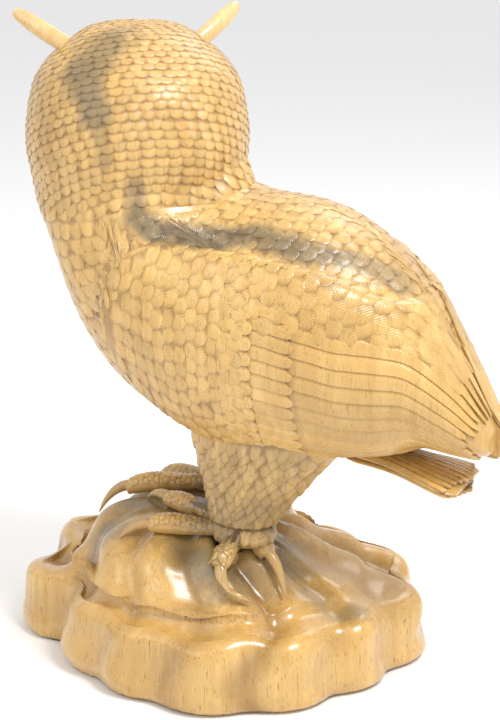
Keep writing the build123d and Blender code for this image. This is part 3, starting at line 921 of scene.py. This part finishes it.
# start, end and base of each column of coverts; the front one goes on last, over the other
COVERT_COLUMNS = [(64 * MM, 97 * MM, 1.1 * MM), (40 * MM, 68 * MM, 1.6 * MM)]
COVERT_HEIGHT = 10.5 * MM
COVERT_LAP = 0.06
COVERT_SAG = 0.35
COVERT_TILT = 1.5 * MM
COVERT_SHIFT = 0.008
COVERT_WIDTHS = [0.82, 1.0, 1.0, 1.0, 0.97, 0.88, 0.62, 0.18]
COVERT_STEPS = [0.0, 0.15, 0.4, 0.6, 0.75, 0.88, 0.96, 1.0]
TOP_ROWS = np.arange(178, 20, -9) * MM
SHOULDER_ROWS = np.arange(44, -52, -8.5) * MM


def round_end(step, share):
    """Width of a long feather at a step along it: full, and round over the last share of it."""
    return math.sqrt(max(1 - (max(step - 1 + share, 0) / share * 0.99) ** 2, 0.02))


def row_at(skin, y):
    """The row of a wing's skin at a distance along the owl."""
    middle = skin.points[:, skin.columns // 2, 1]
    return np.interp(y, middle, np.linspace(0, 1, skin.rows))


def lay_coverts(plumage, skin):
    """Short feathers in columns that lap downwards."""
    reach = 1 - FLIGHT_TOP + COVERT_LAP
    for start, stop, base in COVERT_COLUMNS:
        u0, u1 = row_at(skin, start), row_at(skin, stop)
        height = np.linalg.norm(skin.at(skin.across, np.array([u0]), np.array([0.5]))[0])
        many = round(height * reach / COVERT_HEIGHT)
        half = [HALF_LAP * reach / many * size for size in COVERT_WIDTHS]
        for number in range(many)[::-1]:
            v = FLIGHT_TOP - COVERT_LAP + (number + 0.5) / many * reach
            shift = rng.uniform(-COVERT_SHIFT, COVERT_SHIFT)
            rows = [u0 + (u1 - u0) * (step + shift) for step in COVERT_STEPS]
            path = [(row, v + COVERT_SAG / many * step**1.5) for row, step in zip(rows, COVERT_STEPS)]
            lay_long(plumage, skin, path, half, COVERT_TILT, rng, base=base, sides=7)


def lay_flight(plumage, skin, end):
    """The long feathers from the lowest up, each lapped by the one above it."""
    u0, u1 = row_at(skin, FLIGHT_START), row_at(skin, end)
    pitch = (1 - FLIGHT_TOP) / FLIGHT_FEATHERS
    half = [HALF_LAP * pitch * round_end(step, 0.06) for step in FLIGHT_STEPS]
    for number in range(FLIGHT_FEATHERS)[::-1]:
        v = FLIGHT_TOP + (number + 0.5) * pitch
        short = 0.05 * abs(number - LONGEST_FLIGHT) / 4 if number > 2 else 0
        length = (u1 - u0) * (1 - short - 0.03 * rng.random())
        path = [(u0 + length * step, v + 0.25 * pitch * math.sin(math.pi * step)) for step in FLIGHT_STEPS]
        lay_long(plumage, skin, path, half, FLIGHT_TILT, rng, base=0.6 * MM, crown=FLIGHT_CROWN)


def lay_inner(plumage, skin, end):
    """The feathers above the flight feathers, near the tip."""
    u0, u1 = row_at(skin, INNER_START), row_at(skin, end)
    pitch = FLIGHT_TOP / INNER_FEATHERS
    rows = [u0 + (u1 - u0) * step for step in INNER_STEPS]
    half = [HALF_LAP * pitch * round_end(u, 0.1) for u in rows]
    for number in range(INNER_FEATHERS)[::-1]:
        path = [(u, pitch * (number + 0.5)) for u in rows]
        lay_long(plumage, skin, path, half, INNER_TILT, rng, base=0.8 * MM, crown=FLIGHT_CROWN)


def feather_wing(side):
    """A wing's feathers, those that lie on top last."""
    skin, plumage = wing_skins[side], Plumage()
    end = WING_TIPS[side] - WING_END
    lay_coverts(plumage, skin)
    lay_flight(plumage, skin, end)
    lay_inner(plumage, skin, end)
    tops = dict(lift=(2.2, 1.8), point=0.05, overlap=2.3, v_range=(0.0, 0.30), turn=0.12, base=1.4 * MM)
    cover(plumage, skin, row_at(skin, TOP_ROWS), (0.0125, 0.0115), rng, **tops)
    shoulder = dict(lift=(1.9, 1.6), point=0.15, overlap=2.1, turn=0.28, base=(0.3 * MM, 2.4 * MM))
    cover(plumage, skin, row_at(skin, SHOULDER_ROWS), (0.0118, 0.0112), rng, **shoulder)
    return plumage


for side in SIDES:
    carve(side + "_wing_feathers", feather_wing(side), "wing_wood", UPPER_STREAKS, side + "_wing")


# %% [markdown]
# ## Tail
#
# The tail is a closed fan: eleven long feathers above and eleven below, stepped from the middle outwards.
# They are the same long shells as the wing's, laid on a skin that is read from the blank straight down and
# straight up.

# %% Tail
TAIL_START = 112 * MM
TAIL_END = 203 * MM
TAIL_SLICES = 40
TAIL_COLUMNS = 30
TAIL_FEATHERS = 11
TAIL_MARGIN = 0.97
TAIL_HEIGHT = 172 * MM
TAIL_CLEAR = 40 * MM
TAIL_SCAN = 40 * MM
TAIL_SCAN_STEP = 0.5 * MM
TAIL_STEPS = [*np.linspace(0, 0.9, 14), 0.94, 0.97, 0.99, 1.0]
TAIL_LAP = 0.66  # half width of a feather as a share of its pitch
TAIL_SPREAD = 0.46  # how far out the outermost feathers lie, as a share of the width
TAIL_STAGGER = 0.10
TAIL_TILT = 1.1 * MM
TAIL_PILE = 1.0 * MM
TAIL_CROWN = 0.6 * MM
tail_tree = tree_of("tail")


def tail_row(y, up):
    """Points across the tail at a place along it, seen from above (1) or below (-1)."""
    beyond, ray = TAIL_HEIGHT - up * TAIL_CLEAR, Vector((0, 0, up))
    scan = np.arange(0, TAIL_SCAN, TAIL_SCAN_STEP)
    shown = [x for x in scan if not math.isnan(outer_hit(tail_tree, Vector((x, y, beyond)), ray)[0])]
    across = np.linspace(-shown[-1], shown[-1], TAIL_COLUMNS) * TAIL_MARGIN
    return [outer_hit(tail_tree, Vector((x, y, beyond)), ray) for x in across]


def feather_tail(plumage, up):
    """One side of the fan, from the outermost feathers to the middle one, which is on top."""
    rows = [tail_row(y, up) for y in np.linspace(TAIL_START, TAIL_END, TAIL_SLICES)]
    skin = Skin(rows, closed=False).facing((0, 0, up))
    half = [TAIL_LAP / TAIL_FEATHERS * round_end(step, 0.12) for step in TAIL_STEPS]
    middle = TAIL_FEATHERS // 2
    for number in sorted(range(TAIL_FEATHERS), key=lambda number: -abs(number - middle)):
        out = (number - middle) / middle
        reach = 1.0 - TAIL_STAGGER * abs(out) - 0.02 * rng.random()
        path = [(reach * step, 0.5 + TAIL_SPREAD * out) for step in TAIL_STEPS]
        tilt = TAIL_TILT if out >= 0 else -TAIL_TILT
        lay_long(plumage, skin, path, half, tilt, rng, base=TAIL_PILE * (1 - abs(out)), crown=TAIL_CROWN)


tail_plumage = Plumage()
for up in (1, -1):
    feather_tail(tail_plumage, up)
TAIL_PIVOT = np.array((0, 104, 184)) * MM
TAIL_CORE = 0.93
carve("tail_feathers", tail_plumage, "wing_wood", UPPER_STREAKS, "tail", TAIL_PIVOT, TAIL_CORE)

# %% [markdown]
# ## Legs
#
# The trousers are the deepest carving on the owl: thick leaves that lap like rope, largest under the belly
# and smaller round the ankle, cut from the grey-green heart of the log.

# %% Legs
LEG_TOP = 206 * MM
LEG_BOTTOM = 109 * MM
LEG_SLICES = 44
LEG_COLUMNS = 80
LEG_SWELL = 1.006  # how the trousers widen from slice to slice where the belly hides them
# ankle and top of each leg's middle line, seen from above, in metres
LEG_LINES = {"left": ((0.038, 0.036), (0.038, 0.060)), "right": ((-0.038, -0.010), (-0.038, 0.042))}


def leg_skin(side):
    """The outside of a leg from under the belly down to the ankle."""
    tree = tree_of(side + "_leg", side + "_foot")
    ankle, top = [np.array(end) for end in LEG_LINES[side]]
    turns = np.linspace(0, 2 * math.pi, LEG_COLUMNS, endpoint=False)
    headings = np.stack([np.cos(turns), np.sin(turns), 0 * turns], -1)
    middles, reaches = [], []
    for z in np.linspace(LEG_TOP, LEG_BOTTOM, LEG_SLICES):
        x, y = ankle + (top - ankle) * (z - LEG_BOTTOM) / (LEG_TOP - LEG_BOTTOM)
        middles.append((x, y, z))
        hits = np.array([outer_hit(tree, Vector(middles[-1]), Vector(heading)) for heading in headings])
        reaches.append(np.linalg.norm(hits - middles[-1], axis=1))
    middles, reaches = np.array(middles), np.array(reaches)
    for row in range(LEG_SLICES - 2, -1, -1):
        missing = np.isnan(reaches[row])
        reaches[row, missing] = reaches[row + 1, missing] * LEG_SWELL
    return Skin(middles[:, None] + headings[None] * reaches[..., None]).facing(headings[None])


LONGEST_STEP = 22 * MM


def leg_keep(skin, u, v, gap):
    """Leaves out places where the skin jumps from the ankle to a toe."""
    places = skin.at(skin.points, u, v)
    step = np.linalg.norm(skin.at(skin.along, u, v), axis=-1) * abs(gap)
    return (step < LONGEST_STEP) & np.isfinite(places[..., 0])


LEG_ROWS = np.linspace(0.93, 0.0, 14)
LEG_LEAVES = dict(lift=(4.4, 1.9), point=0.45, overlap=3.1, keep=leg_keep, crown=0.6, sunk=3.0 * MM)
for side in SIDES:
    leg_plumage = Plumage()
    cover(leg_plumage, leg_skin(side), LEG_ROWS, (0.0135, 0.0085), rng, **LEG_LEAVES)
    carve(side + "_leg_feathers", leg_plumage, "leg_wood", LOWER_STREAKS, side + "_leg")

# %% [markdown]
# ## Feet
#
# A bird's toes wear cross plates. Each toe gets a skin round its own line, and plates are laid over it from
# the claw back to the ankle, so that each laps the next towards the claw.

# %% Toes
# each toe: heading in degrees outwards from straight ahead, and where its plates end, from the ankle
TOES = {"front": (14, 76), "outer": (84, 38), "hind": (172, 25), "inner": (-20, 86)}
TOE_START = 15 * MM
TOE_STEP = 1.5 * MM
TOE_DEPTH = 7 * MM
TOE_WIDEST = 9.5 * MM
TOE_TURNS = np.radians(np.linspace(-80, 80, 27))
PLATE_STEP = 4.6 * MM


def toe_skin(side, turn, end):
    """The top and sides of a toe from the ankle to where its plates end."""
    tree = tree_of(side + "_foot")
    out = 1 if side == "left" else -1
    turn, up = math.radians(turn), Vector((0, 0, 1))
    ahead = Vector((out * math.sin(turn), -math.cos(turn), 0))
    beside = Vector((ahead.y, -ahead.x, 0))
    headings = [beside * math.sin(a) + up * math.cos(a) for a in TOE_TURNS]
    table = []
    for away in np.arange(TOE_START, end * MM, TOE_STEP):
        spot = Vector((*LEG_LINES[side][0], 0)) + ahead * away
        crest = outer_hit(tree, spot, up)[2]
        if math.isnan(crest):
            break
        middle = Vector((spot.x, spot.y, crest - TOE_DEPTH))
        reach = [(Vector(outer_hit(tree, middle, heading)) - middle).length for heading in headings]
        reach = np.minimum(np.nan_to_num(reach, nan=TOE_DEPTH), TOE_WIDEST)
        table.append([middle + heading * length for heading, length in zip(headings, reach)])
    return Skin(table, closed=False).facing((0, 0, 1))


PLATES = dict(lift=(1.0, 1.2), point=0.0, overlap=1.7)
for side in SIDES:
    foot_plumage = Plumage()
    for turn, end in TOES.values():
        skin = toe_skin(side, turn, end)
        plates = max(round(skin.rows * TOE_STEP / PLATE_STEP), 3)
        cover(foot_plumage, skin, np.linspace(0.86, 0.0, plates), (0.0088, 0.0078), rng, **PLATES)
    carve(side + "_foot_plates", foot_plumage, "foot_wood", LOWER_STREAKS[:2], side + "_foot")

# %% [markdown]
# ## Plinth
#
# The plinth is the foot of a tree: the lobes of its rim are roots, and a valley between every two of them
# runs up the mound. The blank has the lobes, and its valleys and slow waves are pressed in here by moving
# the points of a fine even mesh, which keeps the surface round and smooth like sanded wood.

# %% Plinth mesh
PLINTH_VOXEL = 2.4 * MM


def even_mesh(name, blank, voxel):
    """A copy of a blank with small even faces, so that its points can be moved."""
    piece = bpy.data.objects.new(name, nodes[blank].data.copy())
    bpy.context.scene.collection.objects.link(piece)
    remesh = piece.modifiers.new("even", "REMESH")
    remesh.mode = "VOXEL"
    remesh.voxel_size = voxel
    depsgraph = bpy.context.evaluated_depsgraph_get()
    mesh = bpy.data.meshes.new_from_object(piece.evaluated_get(depsgraph))
    bpy.data.objects.remove(piece)
    mesh.name = name
    mesh.materials.clear()
    return mesh


plinth_mesh = even_mesh("plinth_wood", "plinth", PLINTH_VOXEL)
print("plinth points:", len(plinth_mesh.vertices))

# %% Valleys and waves
# the directions of the valleys between the roots, in degrees
VALLEYS = [-95, -62, -27, 5, 36, 66, 92, 120, 145, 169, 195, 220, 244]
VALLEY_DEPTH = 9 * MM
VALLEY_WIDTH = 8.5  # degrees
VALLEY_SHADE = 0.55
# in millimetres: where the flat top ends, the rim begins, the foot stops moving and the feet stand
TOP_RADIUS = 34
TOP_FADE = 30
RIM_HEIGHT = 60
FOOT_HEIGHT = 6
FEET_LEVEL = 92
LEVEL_FADE = 14
RIM_SHARE = 0.55  # how deep a valley is on the rim, as a share
WAVE_DEPTH = 5 * MM
MOUND_MIDDLE = np.array([-2, -18]) * MM


def press_valleys(mesh):
    """Pushes the points in along the valleys and under the waves, and notes the heart, tone and painted
    valley shade.
    """
    count = len(mesh.vertices)
    points, normals = np.empty(count * 3, np.float32), np.empty(count * 3, np.float32)
    mesh.vertices.foreach_get("co", points)
    mesh.vertices.foreach_get("normal", normals)
    points, normals = points.reshape(-1, 3).astype(float), normals.reshape(-1, 3)
    x, y, z = (points / MM).T
    away = np.hypot(points[:, 0] - MOUND_MIDDLE[0], points[:, 1] - MOUND_MIDDLE[1]) / MM
    # the valleys wander a little on their way up
    angle = np.degrees(np.arctan2(y, x)) + 9 * np.sin(away / 23) + 4 * np.sin(z / 13)
    valley = np.zeros(count)
    for number, heading in enumerate(VALLEYS):
        off = (angle - heading + 180) % 360 - 180
        wide = VALLEY_WIDTH * (1 + 0.35 * math.sin(number * 2.4))
        valley = np.maximum(valley, np.exp(-((off / wide) ** 2)) * (0.75 + 0.25 * math.cos(number * 1.7)))
    off_top = np.clip((away - TOP_RADIUS) / TOP_FADE, 0, 1)
    above_floor = np.clip((z - FOOT_HEIGHT) / LEVEL_FADE, 0, 1)
    deep = np.where(z > RIM_HEIGHT, 1.0, RIM_SHARE)
    wave = np.sin(x / 27 + 1.2 * np.sin(y / 39)) * np.sin(y / 33 + 0.9 * np.sin(x / 35 + z / 25))
    near_feet = np.clip((z - FEET_LEVEL) / LEVEL_FADE, 0, 1)
    waves = WAVE_DEPTH * (wave + 1) / 2 * (1 - near_feet)
    press = above_floor * (VALLEY_DEPTH * valley * off_top * deep + waves)
    points -= normals * press[:, None]
    mesh.vertices.foreach_set("co", points.astype(np.float32).ravel())
    set_points(mesh, "heart", heart(points, LOWER_STREAKS))
    set_points(mesh, "tone", np.full(count, CORE_TONE))
    # painted shade: darker down the valleys
    set_points(mesh, "groove", VALLEY_SHADE * valley**2 * off_top)


press_valleys(plinth_mesh)
finish_piece("plinth_carved", plinth_mesh, "plinth_wood", "plinth")

# %% [markdown]
# ## Face
#
# The face is turned away from the main view, and has the calm plan that every owl shares: two dished discs
# of fine feathers that stand out from the eyes like spokes, glass eyes, and a hooked beak.

# %% Facial discs
EYE_RADIUS = 13 * MM
DISC_ROWS = np.linspace(0.86, 0.0, 5)
DISC_MARGIN = 2.5 * MM
DISC_BACK = 30 * MM
disc_tree = tree_of("head")
DISC_RINGS = np.linspace(1.02 * EYE_RADIUS, 1.12 * DISC_RADIUS, 24)
DISC_TURNS = np.linspace(0, 2 * math.pi, 90, endpoint=False)


def disc_skin(out):
    """Rings on the face round the owl's left eye (1) or its right one (-1)."""
    eye = head_axis + facing * FACE_PLANE + face_side * (out * EYE_SPACING / 2)
    eye.z = EYE_HEIGHT
    table = []
    for ring in DISC_RINGS:
        steps = [(ring * math.cos(a), ring * math.sin(a)) for a in DISC_TURNS]
        spots = [eye + face_side * x + Vector((0, 0, z)) - facing * DISC_BACK for x, z in steps]
        table.append([outer_hit(disc_tree, spot, facing) for spot in spots])
    return Skin(table).facing(np.array(facing))


def spoke_keep(out):
    """A test that leaves out spokes which cross into the other disc or under the beak."""

    def keep(skin, u, v, gap):
        sideways = (skin.at(skin.points, u + gap, v) - np.array(head_axis)) @ np.array(face_side) * out
        return sideways > DISC_MARGIN

    return keep


disc_plumage = Plumage()
for out in (1, -1):
    spokes = dict(lift=(1.3, 0.9), point=0.35, overlap=1.7, keep=spoke_keep(out))
    cover(disc_plumage, disc_skin(out), DISC_ROWS, (0.0036, 0.0062), rng, **spokes)
carve("facial_discs", disc_plumage, "head_wood")

# %% [markdown]
# ## The smooth pieces
#
# Claws, tufts and beak are turned over in the fingers and sanded smooth, so the blanks' own shapes are
# right, and all that they need is a finer, glossier wood. Eyes are glass, and what is inside or under the
# owl is plain.

# %% Smooth finishes
claw_wood = wood("claw_wood", (0.60, 0.40, 0.16, 1), (0.42, 0.26, 0.10, 1), carved=False, gloss=0.18)
tuft_wood = wood("tuft_wood", (0.78, 0.56, 0.27, 1), (0.66, 0.42, 0.17, 1), carved=False, gloss=0.22)
beak_wood = wood("beak_wood", (0.16, 0.10, 0.05, 1), (0.09, 0.055, 0.03, 1), carved=False, gloss=0.16)
peg_wood = wood("peg_wood", (0.72, 0.50, 0.24, 1), (0.60, 0.38, 0.16, 1), carved=False, gloss=0.5)
IRIS_RAYS = (900, 900, 900)
FELT_FIBRES = (700, 700, 700)
FELT_DARK = (0.02, 0.05, 0.03, 1)
FELT_PALE = (0.05, 0.11, 0.06, 1)


def glass(name, inner, outer, gloss):
    """Glass eye: a coloured iris with fine rays, seen through a clear coat."""
    f = Finish(name)
    rays = f.stretched(IRIS_RAYS, 4)
    f.put(f.mix(f.ramp(rays, 0.3, 0.7), inner, outer), f.shader.inputs["Base Color"])
    f.put(f.calc("MULTIPLY_ADD", rays, 0.04, gloss), f.shader.inputs["Roughness"])
    f.relief(rays, 0.05, 0.0002)
    f.shader.inputs["Coat Weight"].default_value = 1.0
    f.shader.inputs["Coat Roughness"].default_value = 0.02
    return f.material


def felt(name):
    """Dark green felt: short fibres in every direction."""
    f = Finish(name)
    fibres = f.stretched(FELT_FIBRES, 6)
    f.put(f.mix(f.ramp(fibres, 0.3, 0.7), FELT_DARK, FELT_PALE), f.shader.inputs["Base Color"])
    f.put(f.calc("MULTIPLY_ADD", fibres, 0.1, 0.85), f.shader.inputs["Roughness"])
    f.relief(fibres, 0.6, 0.0008)
    return f.material


iris = glass("eye_glass", (0.55, 0.26, 0.02, 1), (0.75, 0.42, 0.05, 1), 0.06)
pupil = glass("pupil_glass", (0.004, 0.004, 0.004, 1), (0.012, 0.01, 0.008, 1), 0.04)
PLAIN_PIECES = {"beak": beak_wood, "felt_sheet": felt("felt")}
for side in SIDES:
    PLAIN_PIECES[side + "_claws"] = claw_wood
    PLAIN_PIECES[side + "_ear_tuft"] = tuft_wood
    PLAIN_PIECES[side + "_eye"] = iris
    PLAIN_PIECES[side + "_pupil"] = pupil
for name in nodes:
    if name.endswith(("_peg", "_pegs")):
        PLAIN_PIECES[name] = peg_wood


def finish_node(name, material):
    """Gives a CAD node its finish in every slot."""
    mesh = nodes[name].data
    if not mesh.materials:
        mesh.materials.append(material)
    for place in range(len(mesh.materials)):
        mesh.materials[place] = material


for name, material in PLAIN_PIECES.items():
    finish_node(name, material)
print("plain pieces:", len(PLAIN_PIECES))
